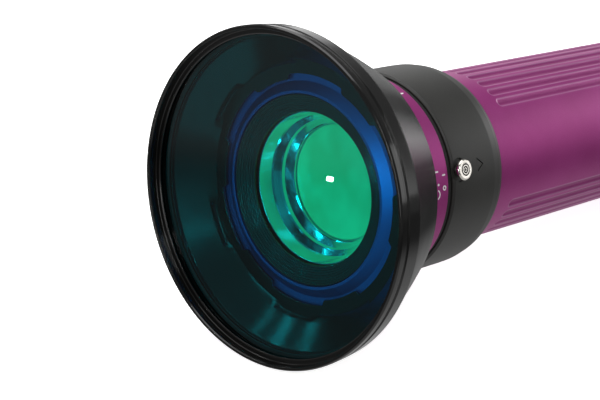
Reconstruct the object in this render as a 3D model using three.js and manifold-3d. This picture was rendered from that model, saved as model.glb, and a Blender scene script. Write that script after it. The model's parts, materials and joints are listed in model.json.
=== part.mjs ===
// Underwater light: a filter hood on a flooded bell, an anodised lamp head, a rotary switch collar
// with a sprung lock knob, and a fluted battery tube closed by a screwed tail cap.
//
// Millimetres, +Z up. Every part is drawn in the light's own frame: the optical axis is Y, the beam
// leaves towards -Y, and y = 0 is the widest circle of the front ring. Angles round the axis are
// measured from +X towards +Z. The finished light then lies on its front ring and tail cap.

import * as THREE from 'three';
import { mergeVertices } from 'three/addons/utils/BufferGeometryUtils.js';
import Module from 'manifold-3d';

const wasm = await Module();
wasm.setup();

// ---------------------------------------------------------------- driving dimensions

const SHELL_FACETS = 48;
const CORE_FACETS = 40;
const SMALL_FACETS = 20;
const SEAL_FACETS = 32;
const SEAL_SIDES = 6;
const TOUCH_GAP = 0.3;

const RING_RADIUS = 60;
const RING_LENGTH = 9.6;
const RING_REAR_RADIUS = 59.4;
const RIM_FACE = -0.6;
const RIM_BORE = 58.4;
const RIM_INNER_RADIUS = 56.4;
const RIM_STEP = 3;
const GLASS_RADIUS = 57.8;
const GLASS_FRONT = 4.1;
const GLASS_THICKNESS = 2.4;

const BELL_FRONT = 7.9;
const BELL_MOUTH_RADIUS = 55.4;
const BELL_SEAM = 12.6;
const BELL_SEAM_RADIUS = 57.6;
const BELL_REAR = 35.4;
const BELL_REAR_RADIUS = 46.6;
const BELL_BORE = 42;
const FLANGE_FRONT = 19.9;
const FLANGE_REAR = 21.1;
const FLANGE_RADIUS = 39.3;
const SCALLOP_RADIUS = 41.2;
const SCALLOPS = 6;
const SCALLOP_FIRST = 29.2;
const SCALLOP_HALF_ANGLE = 18;

const NOSE_FRONT = 19.2;
const NOSE_LIP_RADIUS = 35.4;
const NOSE_RADIUS = 41.6;
const NOSE_FACE = FLANGE_REAR + 0.4;
const SCALE_RADIUS = 37.6;
const SCALE_FRONT = 42;
const SCALE_REAR = 53.1;
const LENS_BORE = 34.4;
const LENS_SHOULDER = 27.9;
const CORE_BORE = 31.8;
const CORE_REAR = 52.4;
const SPIGOT_RADIUS = 34.6;
const SPIGOT_REAR = 69.7;
const SPIGOT_BORE = 29.6;

const COLLAR_RADIUS = 38.1;
const COLLAR_BORE = 35;
const COLLAR_FRONT = 55.8;
const COLLAR_REAR = 86.7;
const THRUST_RIB_FRONT = SPIGOT_REAR + 0.4;
const THRUST_RIB_REAR = 74;
const KNOB_ANGLE = 15.2;
const KNOB_Y = 59.4;
const PIN_RADIUS = 1.6;
const SWITCH_OFF_ANGLE = -7.5;
const SWITCH_HIGH_ANGLE = 50.5;
const DETENT_Y = 65;
const DETENT_ANGLE = 100;
const MAGNET_ANGLES = [190, 250];

const TUBE_RADIUS = 32.6;
const TUBE_BORE = 29.4;
const TUBE_REAR = 246;
const FLUTE_WIDTH = 3.4;
const FLUTE_DEPTH = 0.7;
const FLUTE_FRONT = 103.5;
const FLUTE_REAR = 224;
const FLUTES_PER_GROUP = 13;
const FLUTE_PITCH = 9.3;
const FLUTE_GROUP_OFFSET = 91.8;

const CELL_RADIUS = 13;
const CELL_LENGTH = 65.5;
const CELLS_PER_LAYER = 3;
const CELL_PITCH_RADIUS = 15.3;
const PLATE_THICKNESS = 2;
const PACK_FRONT = 88.3;

const TAIL_RADIUS = 33.6;
const TAIL_FRONT = TUBE_REAR + TOUCH_GAP;
const TAIL_REAR = 270;
const TAIL_CHAMFER = 1.4;
const PLUG_FRONT = 234.6;
const PLUG_RADIUS = 29;
const LUG_HOLE_Y = 275.2;
const LANYARD_RING_RADIUS = 9;
const LANYARD_WIRE_RADIUS = 1.4;

// ---------------------------------------------------------------- materials

const finish = (color, roughness, metalness) =>
  new THREE.MeshStandardMaterial({ color, roughness, metalness });

const purpleAnodised = finish(0x8a3a72, 0.38, 0.85);
const blackAnodised = finish(0x1c1c1a, 0.35, 0.6);
const blackMatt = finish(0x2c2d2b, 0.7, 0.2);
const steel = finish(0xd8d6cf, 0.25, 1);
const polishedAluminium = finish(0xe4e8ea, 0.08, 1);
const castAluminium = finish(0xb4b6b8, 0.45, 1);
const brass = finish(0xc9a24a, 0.3, 1);
const rubber = finish(0x151515, 0.8, 0);
const clearGlass = finish(0xe8f4f2, 0.03, 0);
const filterGlass = finish(0x0f4a4a, 0.04, 0.1);
const phosphor = finish(0xe6cf28, 0.55, 0);
const circuitBoard = finish(0x1e5c38, 0.5, 0);
const insulator = finish(0xe9e6da, 0.55, 0);
const cellWrap = finish(0x2f6f9f, 0.4, 0);
const ferrite = finish(0x35363a, 0.6, 0);

// ---------------------------------------------------------------- modelling helpers

const radians = THREE.MathUtils.degToRad;

// Keeps only positions, joins shared corners and drops the triangles that collapse on the axis.
function weld(geometry) {
  const bare = geometry.clone();
  bare.deleteAttribute('normal');
  bare.deleteAttribute('uv');
  const welded = mergeVertices(bare, 1e-4);
  const corners = welded.index.array;
  const kept = [];
  for (let i = 0; i < corners.length; i += 3) {
    const [a, b, c] = [corners[i], corners[i + 1], corners[i + 2]];
    if (a !== b && b !== c && c !== a) kept.push(a, b, c);
  }
  welded.setIndex(kept);
  return welded;
}

function toManifold(geometry) {
  const welded = weld(geometry);
  return new wasm.Manifold(new wasm.Mesh({
    numProp: 3,
    vertProperties: new Float32Array(welded.attributes.position.array),
    triVerts: new Uint32Array(welded.index.array),
  }));
}

function toGeometry(manifold) {
  const mesh = manifold.getMesh();
  const geometry = new THREE.BufferGeometry();
  geometry.setAttribute('position', new THREE.BufferAttribute(mesh.vertProperties, 3));
  geometry.setIndex(new THREE.BufferAttribute(mesh.triVerts, 1));
  return geometry;
}

function cut(geometry, cutters) {
  return toGeometry(cutters.reduce((body, cutter) => body.subtract(toManifold(cutter)), toManifold(geometry)));
}

// A solid of revolution about Y. The outline is a list of [radius, y] that either closes on itself
// or starts and ends on the axis, and one flat facet faces straight down.
function turned(outline, facets = CORE_FACETS) {
  const points = outline.map(([radius, y]) => new THREE.Vector2(radius, y));
  if (THREE.ShapeUtils.area(points) < 0) points.reverse();
  const onAxis = points[0].x === 0 && points[points.length - 1].x === 0;
  if (!onAxis) {
    const axisAt = points.findIndex((point, i) => point.x === 0 && points[(i + 1) % points.length].x === 0);
    if (axisAt >= 0) points.push(...points.splice(0, axisAt + 1));
    else points.push(points[0].clone());
  }
  return weld(new THREE.LatheGeometry(points, facets, Math.PI / facets));
}

const disc = (radius, front, rear, facets) =>
  turned([[0, front], [radius, front], [radius, rear], [0, rear]], facets);

const sleeve = (inner, outer, front, rear, facets) =>
  turned([[inner, front], [outer, front], [outer, rear], [inner, rear]], facets);

// A sealing ring with a faceted round section.
function sealRing(radius, y, section) {
  const outline = [];
  for (let i = 0; i < SEAL_SIDES; i += 1) {
    const turn = (2 * Math.PI * i) / SEAL_SIDES;
    outline.push([radius + section * Math.cos(turn), y + section * Math.sin(turn)]);
  }
  return turned(outline, SEAL_FACETS);
}

// Turns geometry drawn about the +X direction to an angle round the light's axis.
const aroundAxis = (geometry, angle) => geometry.rotateY(-radians(angle));

// A turned solid whose own axis is radial: outline is [radius, distance from the light's axis].
function radialTurned(outline, angle, y, facets = SMALL_FACETS) {
  const geometry = turned(outline, facets).rotateZ(-Math.PI / 2).translate(0, y, 0);
  return aroundAxis(geometry, angle);
}

const radialRod = (radius, from, to, angle, y) =>
  radialTurned([[0, from], [radius, from], [radius, to], [0, to]], angle, y);

// A rod parallel to the light's axis, at a radius and an angle round it.
function axialRod(radius, from, to, offset, angle, facets = SMALL_FACETS) {
  return aroundAxis(disc(radius, from, to, facets).translate(offset, 0, 0), angle);
}

// A block that covers part of a ring: between two radii, two angles and two places along the axis.
function ringSector(inner, outer, fromAngle, toAngle, front, rear) {
  const shape = new THREE.Shape();
  shape.absarc(0, 0, outer, radians(fromAngle), radians(toAngle), false);
  shape.absarc(0, 0, inner, radians(toAngle), radians(fromAngle), true);
  const block = new THREE.ExtrudeGeometry(shape, {
    depth: rear - front,
    bevelEnabled: false,
    curveSegments: 10,
  });
  return block.rotateX(Math.PI / 2).translate(0, rear, 0);
}

const light = new THREE.Group();

function part(name, geometry, material) {
  const mesh = new THREE.Mesh(geometry, material);
  mesh.name = name;
  light.add(mesh);
  return mesh;
}

// ---------------------------------------------------------------- filter hood

function addFilterHood() {
  const glassRear = GLASS_FRONT + GLASS_THICKNESS;
  part('filter_retaining_ring', turned([
    [RIM_BORE, 0], [RIM_BORE + 0.3, RIM_FACE], [RING_RADIUS - 0.4, RIM_FACE], [RING_RADIUS, 0],
    [RING_RADIUS, 2.2], [RING_REAR_RADIUS, 2.5], [RING_REAR_RADIUS, 3.5], [RING_RADIUS - 0.1, 3.8],
    [RING_REAR_RADIUS, RING_LENGTH], [GLASS_RADIUS + 0.4, RING_LENGTH],
    [GLASS_RADIUS + 0.4, GLASS_FRONT - TOUCH_GAP], [RIM_INNER_RADIUS, GLASS_FRONT - TOUCH_GAP],
    [RIM_INNER_RADIUS, RIM_STEP + 0.1], [RIM_BORE, RIM_STEP],
  ], SHELL_FACETS), blackAnodised);
  part('filter_glass', disc(GLASS_RADIUS, GLASS_FRONT, glassRear, SHELL_FACETS), filterGlass);
  part('filter_gasket', sleeve(55.8, 57.4, glassRear + TOUCH_GAP, BELL_FRONT - TOUCH_GAP), rubber);
  part('bell_housing', bellHousing(), blackAnodised);
  part('bell_grip_ring', sealRing(40.5, 29, 1), rubber);
}

// A conical shell: threaded spigot in front, flange inside against the lamp head's nose, and
// scallops in the flange that let water in and bubbles out.
function bellHousing() {
  const shell = turned([
    [BELL_MOUTH_RADIUS, BELL_FRONT], [GLASS_RADIUS, BELL_FRONT], [GLASS_RADIUS, RING_LENGTH + TOUCH_GAP],
    [58.9, RING_LENGTH + TOUCH_GAP], [BELL_SEAM_RADIUS, BELL_SEAM],
    [BELL_REAR_RADIUS, BELL_REAR - 0.4], [BELL_REAR_RADIUS - 0.4, BELL_REAR],
    [BELL_BORE, BELL_REAR], [BELL_BORE, FLANGE_REAR], [FLANGE_RADIUS, FLANGE_REAR],
    [FLANGE_RADIUS, FLANGE_FRONT], [44.6, FLANGE_FRONT - 0.4], [BELL_MOUTH_RADIUS, 9.4],
  ], SHELL_FACETS);
  const scallops = [];
  for (let i = 0; i < SCALLOPS; i += 1) {
    const middle = SCALLOP_FIRST + (360 / SCALLOPS) * i;
    scallops.push(ringSector(
      FLANGE_RADIUS - 2, SCALLOP_RADIUS,
      middle - SCALLOP_HALF_ANGLE, middle + SCALLOP_HALF_ANGLE,
      FLANGE_FRONT - 1, FLANGE_REAR + 1,
    ));
  }
  return cut(shell, scallops);
}

// ---------------------------------------------------------------- lamp head

const SCREW_OFFSET = 26.8;
const SCREW_ANGLES = [100, 280];
const LEAD_ANGLES = [10, 190];

function addLampHead() {
  part('head_housing', headHousing(), purpleAnodised);
  part('lens_retaining_ring', turned([
    [34, 19.8], [33.2, 19.8], [32.8, 20.8], [31, 20.9], [30.6, 21.7],
    [27.6, 21.8], [27.6, 22.5], [34, 22.5],
  ]), blackAnodised);
  part('port_glass', disc(34, 22.8, 25.8, CORE_FACETS), clearGlass);
  part('port_seal_ring', sealRing(33, 26.9, 0.7), rubber);
  part('reflector', turned([
    [27.1, 26.1], [31.4, 26.1], [31.4, 29.6], [28, 30.4], [24, 35], [24, 38],
    [21.6, 38], [22.5, 33.6], [23.1, 33.4], [24.7, 30.4], [25.3, 30.2],
  ]), polishedAluminium);
  part('led_phosphor', disc(21, 38.3, 39.1, CORE_FACETS), phosphor);
  part('led_board', ledBoard(), insulator);
  part('heat_sink', heatSink(), castAluminium);
  SCREW_ANGLES.forEach((angle, i) => {
    const screw = turned([
      [0, 37.6], [2.2, 37.6], [2.2, 39.1], [1.2, 39.1], [1.2, 45.6], [0, 45.6],
    ], 12).translate(SCREW_OFFSET, 0, 0);
    part(`led_board_screw_${i + 1}`, aroundAxis(screw, angle), steel);
  });
  LEAD_ANGLES.forEach((angle, i) => {
    part(`led_lead_${i + 1}`, axialRod(0.8, 38.4, 57.6, SCREW_OFFSET, angle, 12), rubber);
  });
}

function headHousing() {
  const body = turned([
    [LENS_BORE, NOSE_FRONT], [NOSE_LIP_RADIUS, NOSE_FRONT], [38.6, NOSE_FACE], [NOSE_RADIUS, NOSE_FACE],
    [NOSE_RADIUS, 27.7], [39.2, 27.7], [39.2, 30.3], [NOSE_RADIUS, 30.3],
    [NOSE_RADIUS, 38], [SCALE_RADIUS, SCALE_FRONT], [SCALE_RADIUS, SCALE_REAR],
    [SPIGOT_RADIUS, SCALE_REAR], [SPIGOT_RADIUS, SPIGOT_REAR], [SPIGOT_BORE, SPIGOT_REAR],
    [SPIGOT_BORE, CORE_REAR], [CORE_BORE, CORE_REAR], [CORE_BORE, LENS_SHOULDER],
    [LENS_BORE, LENS_SHOULDER],
  ]);
  const pinPlay = 4;
  const pinSlot = ringSector(
    32.8, SPIGOT_RADIUS + 2,
    KNOB_ANGLE + SWITCH_OFF_ANGLE - pinPlay, KNOB_ANGLE + SWITCH_HIGH_ANGLE + pinPlay,
    KNOB_Y - PIN_RADIUS - 0.5, KNOB_Y + PIN_RADIUS + 0.5,
  );
  const detentHole = radialRod(1.7, 30.3, SPIGOT_RADIUS + 1, DETENT_ANGLE, DETENT_Y);
  return cut(body, [pinSlot, detentHole]);
}

function ledBoard() {
  const holes = [...SCREW_ANGLES, ...LEAD_ANGLES].map(
    (angle) => axialRod(1.5, 38, 43, SCREW_OFFSET, angle, 12),
  );
  return cut(disc(29.5, 39.4, 41.4, CORE_FACETS), holes);
}

function heatSink() {
  const slug = turned([
    [0, 41.7], [31.5, 41.7], [31.5, 52.1], [24, 52.1], [24, 47], [0, 47],
  ]);
  const screwHoles = SCREW_ANGLES.map((angle) => axialRod(1.5, 41, 46.5, SCREW_OFFSET, angle, 12));
  const leadHoles = LEAD_ANGLES.map((angle) => axialRod(1.4, 41, 53, SCREW_OFFSET, angle, 12));
  return cut(slug, [...screwHoles, ...leadHoles]);
}

// ---------------------------------------------------------------- driver and contacts

function addDriver() {
  const front = 57.9;
  const rear = 59.5;
  part('driver_board', disc(28.6, front, rear, CORE_FACETS), circuitBoard);
  part('driver_inductor', axialRod(6, 51.6, front - TOUCH_GAP, 11, 40), ferrite);
  const chip = new THREE.BoxGeometry(9, 2.4, 7).translate(-9, front - TOUCH_GAP - 1.2, -8);
  part('driver_chip', weld(chip), ferrite);
  const sensor = new THREE.BoxGeometry(2, 3, 4).translate(23.5, rear + TOUCH_GAP + 1.5, 0);
  part('switch_sensor', weld(aroundAxis(sensor, MAGNET_ANGLES[0])), ferrite);
  part('contact_block', turned([
    [2.6, 64.8], [25.6, 64.8], [25.6, 67.8], [7, 67.8], [7, 86], [2.6, 86],
  ]), insulator);
  part('centre_contact', disc(2.2, rear + 0.4, 87.8, SMALL_FACETS), brass);
}

// ---------------------------------------------------------------- rotary switch

function addSwitch() {
  part('collar_glide_ring', sleeve(34.9, 36.9, SCALE_REAR + TOUCH_GAP, COLLAR_FRONT - TOUCH_GAP), rubber);
  part('switch_collar', switchCollar(), blackMatt);
  MAGNET_ANGLES.forEach((angle, i) => {
    part(`collar_magnet_${i + 1}`, radialRod(2, 35.4, 36.9, angle, DETENT_Y), steel);
  });
  part('detent_ball', detentBall(), steel);
  part('detent_spring', radialRod(1.2, 30.6, 31.4, DETENT_ANGLE, DETENT_Y), steel);
  part('lock_knob', radialTurned([
    [0, 37.5], [2.3, 37.5], [2.3, 38.9], [3.75, 39.2], [3.75, 40.4],
    [3.3, 40.8], [0.9, 40.8], [0.5, 40.3], [0, 40.3],
  ], KNOB_ANGLE, KNOB_Y), steel);
  part('lock_pin', radialRod(PIN_RADIUS, 33.3, 37.2, KNOB_ANGLE, KNOB_Y), steel);
  part('lock_spring', radialTurned([
    [1.9, 35.2], [2.8, 35.2], [2.8, 35.9], [1.9, 35.9],
  ], KNOB_ANGLE, KNOB_Y), steel);
}

// The collar turns on the head's spigot. Its inner thrust rib runs between the spigot and the
// battery tube's flange, which hold it endways.
function switchCollar() {
  const body = turned([
    [COLLAR_BORE, COLLAR_FRONT], [37.3, COLLAR_FRONT], [COLLAR_RADIUS - 0.1, COLLAR_FRONT + 0.9],
    [COLLAR_RADIUS, 78], [37.6, 83], [36, COLLAR_REAR], [COLLAR_BORE, COLLAR_REAR],
    [COLLAR_BORE, THRUST_RIB_REAR], [33.2, THRUST_RIB_REAR], [33.2, THRUST_RIB_FRONT],
    [COLLAR_BORE, THRUST_RIB_FRONT],
  ], SHELL_FACETS);
  const pinHole = radialRod(PIN_RADIUS + 0.4, 30, 42, KNOB_ANGLE, KNOB_Y);
  const springSeat = radialRod(3.2, 30, 36.2, KNOB_ANGLE, KNOB_Y);
  const spotFace = radialRod(4.3, 37.1, 42, KNOB_ANGLE, KNOB_Y);
  const magnetPockets = MAGNET_ANGLES.map((angle) => radialRod(2.3, 30, 37.2, angle, DETENT_Y));
  return cut(body, [pinHole, springSeat, spotFace, ...magnetPockets]);
}

function detentBall() {
  const ball = new THREE.SphereGeometry(1.4, 12, 8).translate(33.1, DETENT_Y, 0);
  return weld(aroundAxis(ball, DETENT_ANGLE));
}

// ---------------------------------------------------------------- battery tube

function addBatteryTube() {
  part('battery_tube', batteryTube(), purpleAnodised);
  part('head_seal_ring_1', sealRing(28.4, 64.5, 0.9), rubber);
  part('head_seal_ring_2', sealRing(28.4, 66.9, 0.9), rubber);
  addBatteryPack();
}

function batteryTube() {
  const body = turned([
    [26, 61.5], [29.2, 61.5], [29.2, 63.3], [27.2, 63.3], [27.2, 68.1], [29.2, 68.1],
    [29.2, THRUST_RIB_REAR + 0.4], [SPIGOT_RADIUS, THRUST_RIB_REAR + 0.4], [SPIGOT_RADIUS, 85.5],
    [TUBE_RADIUS, 86.1], [TUBE_RADIUS, TUBE_REAR - 0.6], [TUBE_RADIUS - 0.6, TUBE_REAR],
    [TUBE_BORE, TUBE_REAR], [TUBE_BORE, 88], [26, 88],
  ], SHELL_FACETS);
  const half = FLUTE_WIDTH / 2;
  const cutterRadius = (half ** 2 + FLUTE_DEPTH ** 2) / (2 * FLUTE_DEPTH);
  const cutterCentre = TUBE_RADIUS + cutterRadius - FLUTE_DEPTH;
  const flutes = [];
  for (const side of [1, -1]) {
    const middle = KNOB_ANGLE + side * FLUTE_GROUP_OFFSET;
    for (let i = 0; i < FLUTES_PER_GROUP; i += 1) {
      const angle = middle + (i - (FLUTES_PER_GROUP - 1) / 2) * FLUTE_PITCH;
      const cutter = new THREE.CapsuleGeometry(cutterRadius, FLUTE_REAR - FLUTE_FRONT, 2, 10);
      cutter.rotateY(Math.PI / 10).translate(cutterCentre, (FLUTE_FRONT + FLUTE_REAR) / 2, 0);
      flutes.push(aroundAxis(cutter, angle));
    }
  }
  return cut(body, flutes);
}

// Two layers of three cells between insulating plates.
function addBatteryPack() {
  let y = PACK_FRONT;
  ['front', 'middle', 'rear'].forEach((place, layer) => {
    part(`cell_plate_${place}`, disc(28.8, y, y + PLATE_THICKNESS, CORE_FACETS), circuitBoard);
    y += PLATE_THICKNESS + TOUCH_GAP;
    if (layer < 2) {
      addCellLayer(layer, y);
      y += CELL_LENGTH + TOUCH_GAP;
    }
  });
  part('tail_spring', turned([[5, y], [7, y], [5.4, 232.4], [3.4, 232.4]], SMALL_FACETS), steel);
}

function addCellLayer(layer, front) {
  const rear = front + CELL_LENGTH;
  for (let i = 0; i < CELLS_PER_LAYER; i += 1) {
    const cell = turned([
      [0, front], [4, front], [4, front + 1], [CELL_RADIUS, front + 1.2],
      [CELL_RADIUS, rear], [0, rear],
    ], SMALL_FACETS).translate(CELL_PITCH_RADIUS, 0, 0);
    const number = layer * CELLS_PER_LAYER + i + 1;
    part(`battery_cell_${number}`, aroundAxis(cell, KNOB_ANGLE + (360 / CELLS_PER_LAYER) * i), cellWrap);
  }
}

// ---------------------------------------------------------------- tail cap

function addTail() {
  part('tail_contact_plate', disc(23.6, 232.7, 234.3, CORE_FACETS), brass);
  part('tail_cap', tailCap(), purpleAnodised);
  part('tail_seal_ring_1', sealRing(28.2, 238.2, 0.9), rubber);
  part('tail_seal_ring_2', sealRing(28.2, 240.6, 0.9), rubber);
}

// A cup with a threaded plug in front, grip scallops outside, and a drilled lanyard lug behind.
function tailCap() {
  const body = turned([
    [0, 262], [24, 262], [24, PLUG_FRONT], [PLUG_RADIUS, PLUG_FRONT], [PLUG_RADIUS, 237],
    [27, 237], [27, 241.8], [PLUG_RADIUS, 241.8], [PLUG_RADIUS, TAIL_FRONT],
    [TAIL_RADIUS - 0.8, TAIL_FRONT], [TAIL_RADIUS, TAIL_FRONT + 0.8],
    [TAIL_RADIUS, TAIL_REAR - TAIL_CHAMFER], [TAIL_RADIUS - TAIL_CHAMFER, TAIL_REAR], [0, TAIL_REAR],
  ]);
  const gripCuts = [];
  for (let i = 0; i < 12; i += 1) {
    const cutter = new THREE.CapsuleGeometry(4, 10, 3, 12).rotateY(Math.PI / 12);
    gripCuts.push(aroundAxis(cutter.translate(TAIL_RADIUS + 2.8, 258, 0), 15 + 30 * i));
  }
  const lug = lanyardLug();
  return toGeometry(toManifold(cut(body, gripCuts)).add(toManifold(lug)));
}

// A plate across the tail face with a rounded outline and a cross hole for the lanyard ring.
function lanyardLug() {
  const halfHeight = 8;
  const corner = 3.5;
  const shape = new THREE.Shape();
  shape.moveTo(-halfHeight, TAIL_REAR - 1);
  shape.lineTo(halfHeight, TAIL_REAR - 1);
  shape.absarc(halfHeight - corner, LUG_HOLE_Y + 0.8, corner, 0, Math.PI / 2, false);
  shape.absarc(corner - halfHeight, LUG_HOLE_Y + 0.8, corner, Math.PI / 2, Math.PI, false);
  shape.closePath();
  const hole = new THREE.Path();
  hole.absarc(0, LUG_HOLE_Y, 2.6, 0, 2 * Math.PI, true);
  shape.holes.push(hole);
  const plate = new THREE.ExtrudeGeometry(shape, { depth: 6, bevelEnabled: false, curveSegments: 5 });
  return plate.translate(0, 0, -3).rotateY(Math.PI / 2);
}

// The steel ring hangs plumb from the lug while the light lies on the ground.
function addLanyardRing(tilt) {
  const ring = new THREE.TorusGeometry(LANYARD_RING_RADIUS, LANYARD_WIRE_RADIUS, 8, 28);
  ring.rotateX(Math.PI / 2).translate(0, 0, -LANYARD_RING_RADIUS);
  const mesh = part('lanyard_ring', weld(ring), steel);
  mesh.position.y = LUG_HOLE_Y;
  mesh.rotation.x = tilt;
}

// ---------------------------------------------------------------- assembly

// The ring's rear edge and the tail cap's rear edge both touch the ground.
function restingTilt() {
  const ringDrop = RING_REAR_RADIUS * Math.cos(Math.PI / SHELL_FACETS);
  const tailDrop = TAIL_RADIUS * Math.cos(Math.PI / CORE_FACETS);
  return Math.atan2(ringDrop - tailDrop, TAIL_REAR - TAIL_CHAMFER - RING_LENGTH);
}

const tilt = restingTilt();
addFilterHood();
addLampHead();
addDriver();
addSwitch();
addBatteryTube();
addTail();
addLanyardRing(tilt);

light.rotation.x = -tilt;
light.updateMatrixWorld(true);
const extent = new THREE.Box3().setFromObject(light, true);
light.position.set(0, -(extent.min.y + extent.max.y) / 2, -extent.min.z);

export default light;
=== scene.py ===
"""Looks for the underwater light: smooth turned shells, procedural finishes, floor, lamps and camera.

Lengths on the light are millimetres in its own frame, as in the CAD: y runs along the optical axis
from the front ring towards the tail, and angles round it are degrees from +X. The floor, lamps and
camera are in metres in the shared frame.
"""
import json
import math
import bmesh
import bpy
from mathutils import Matrix, Vector


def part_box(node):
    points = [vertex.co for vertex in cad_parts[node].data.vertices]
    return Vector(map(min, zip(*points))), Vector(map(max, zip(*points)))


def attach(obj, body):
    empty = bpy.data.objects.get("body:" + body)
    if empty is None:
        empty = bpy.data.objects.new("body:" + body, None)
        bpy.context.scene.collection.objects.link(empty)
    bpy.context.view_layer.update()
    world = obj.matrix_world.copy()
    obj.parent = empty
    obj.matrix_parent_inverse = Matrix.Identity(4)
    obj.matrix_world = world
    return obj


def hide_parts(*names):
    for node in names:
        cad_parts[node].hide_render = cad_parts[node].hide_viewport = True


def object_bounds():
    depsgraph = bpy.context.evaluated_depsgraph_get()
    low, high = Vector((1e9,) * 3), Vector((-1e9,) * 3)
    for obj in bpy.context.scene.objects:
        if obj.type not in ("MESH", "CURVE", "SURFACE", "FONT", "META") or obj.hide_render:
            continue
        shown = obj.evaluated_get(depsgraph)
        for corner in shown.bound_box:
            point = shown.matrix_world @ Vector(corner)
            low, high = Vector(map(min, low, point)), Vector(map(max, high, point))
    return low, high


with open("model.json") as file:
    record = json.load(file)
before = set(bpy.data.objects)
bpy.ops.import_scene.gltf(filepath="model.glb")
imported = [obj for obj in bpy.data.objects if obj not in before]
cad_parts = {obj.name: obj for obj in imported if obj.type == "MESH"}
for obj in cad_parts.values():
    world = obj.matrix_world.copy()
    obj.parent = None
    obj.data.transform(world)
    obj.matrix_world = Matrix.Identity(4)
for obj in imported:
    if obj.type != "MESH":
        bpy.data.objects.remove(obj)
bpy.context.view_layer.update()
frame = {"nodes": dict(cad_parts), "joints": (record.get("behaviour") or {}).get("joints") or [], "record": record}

MM = 0.001
SEGMENTS = 192
SHAPED_SEGMENTS = 360
FLUTED_SEGMENTS = 720
FILLET_STEPS = 4

# Angles round the axis, degrees
KNOB_ANGLE = 15.2
SCALLOP_FIRST = 29.2
SCALLOPS = 6
SCALLOP_HALF_ANGLE = 18.6
SCALLOP_FOOT_HALF_ANGLE = 14.0
FLUTES_PER_GROUP = 13
FLUTE_PITCH = 9.3
FLUTE_GROUP_OFFSET = 91.8
GRIP_SCALLOPS = 12

# Lengths, millimetres
SCALLOP_DEPTH = 1.9
SCALLOP_FOOT_DEPTH = 1.8
BEZEL_REAR = 26.0
SCALE_RADIUS = 37.6
KNOB_Y = 59.4
CHEVRON_Y = 70.0
TUBE_RADIUS = 32.6
FLUTE_HALF_WIDTH = 1.7
FLUTE_DEPTH = 0.7
FLUTE_FRONT = 103.5
FLUTE_REAR = 224.0
CAP_RADIUS = 33.6
LUG_HOLE_Y = 275.2
WIRE_RADIUS = 1.4


# ---------------------------------------------------------------- the light's own frame

def light_matrix():
    """The optical axis, from the front ring's hinge in the record."""
    joint = next(j for j in frame["joints"] if j["name"] == "front_ring_turn")
    y_axis = -Vector(joint["axis"]).normalized()
    x_axis = Vector((1, 0, 0))
    z_axis = x_axis.cross(y_axis)
    turn = Matrix((x_axis, y_axis, z_axis)).transposed().to_4x4()
    return Matrix.Translation(Vector(joint["pos_m"])) @ turn @ Matrix.Scale(MM, 4)


LIGHT = light_matrix()
AXIS = (LIGHT.to_3x3() @ Vector((0, 1, 0))).normalized()
ORIGIN = LIGHT.translation


def around(radius, y, angle):
    a = math.radians(angle)
    return Vector((radius * math.cos(a), y, radius * math.sin(a)))


def fillet(outline, closed):
    """Rounds the corners of a list of (radius, y, fillet radius)."""
    points = []
    count = len(outline)
    for i, corner in enumerate(outline):
        here = Vector(corner[:2])
        size = corner[2] if len(corner) > 2 else 0
        at_end = not closed and i in (0, count - 1)
        if not size or at_end:
            points.append(here)
            continue
        before = Vector(outline[i - 1][:2]) - here
        after = Vector(outline[(i + 1) % count][:2]) - here
        half = before.angle(after) / 2
        reach = min(size / math.tan(half), 0.49 * before.length, 0.49 * after.length)
        start = here + before.normalized() * reach
        end = here + after.normalized() * reach
        for step in range(FILLET_STEPS + 1):
            t = step / FILLET_STEPS
            points.append(start * (1 - t) ** 2 + here * 2 * t * (1 - t) + end * t ** 2)
    return points


def loose_object(name, data):
    obj = bpy.data.objects.new(name, data)
    bpy.context.scene.collection.objects.link(obj)
    return obj


def dress(obj, material, body, replaced):
    """Gives a piece its finish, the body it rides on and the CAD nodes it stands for."""
    obj.data.materials.clear()
    obj.data.materials.append(material)
    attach(obj, body)
    if replaced:
        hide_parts(*replaced)


def smooth_faces(obj):
    for polygon in obj.data.polygons:
        polygon.use_smooth = True


def soften(obj):
    """Smooth shading that keeps flat faces flat between their rounded edges."""
    smooth_faces(obj)
    normals = obj.modifiers.new("weighted_normals", "WEIGHTED_NORMAL")
    normals.mode = "FACE_AREA"
    normals.keep_sharp = True


def turned_mesh(name, outline, segments=SEGMENTS, shape=None, place=LIGHT):
    """A surface of revolution about y. shape(radius, y, angle) may move a point's radius.

    An outline that starts and ends on the axis is left open there; any other is a closed ring.
    """
    closed = not (outline[0][0] == 0 and outline[-1][0] == 0)
    points = fillet(outline, closed)
    verts = []
    rows = []
    for point in points:
        if point.x < 1e-6:
            rows.append([len(verts)] * segments)
            verts.append(place @ Vector((0, point.y, 0)))
            continue
        row = []
        for i in range(segments):
            angle = 360 * i / segments
            radius = shape(point.x, point.y, angle) if shape else point.x
            row.append(len(verts))
            verts.append(place @ around(radius, point.y, angle))
        rows.append(row)
    faces = []
    pairs = list(zip(rows, rows[1:]))
    if closed:
        pairs.append((rows[-1], rows[0]))
    for low, high in pairs:
        for i in range(segments):
            j = (i + 1) % segments
            corners = list(dict.fromkeys((low[i], low[j], high[j], high[i])))
            if len(corners) > 2:
                faces.append(corners)
    mesh = bpy.data.meshes.new(name)
    mesh.from_pydata(verts, [], faces)
    work = bmesh.new()
    work.from_mesh(mesh)
    bmesh.ops.recalc_face_normals(work, faces=work.faces)
    work.to_mesh(mesh)
    work.free()
    return mesh


def turned(name, outline, material, body, replaced, slot, **options):
    """A turned piece, dressed and smoothed; the options are turned_mesh's."""
    obj = loose_object(name, turned_mesh(name, outline, **options))
    dress(obj, material, body, replaced)
    soften(obj)
    return obj


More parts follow.
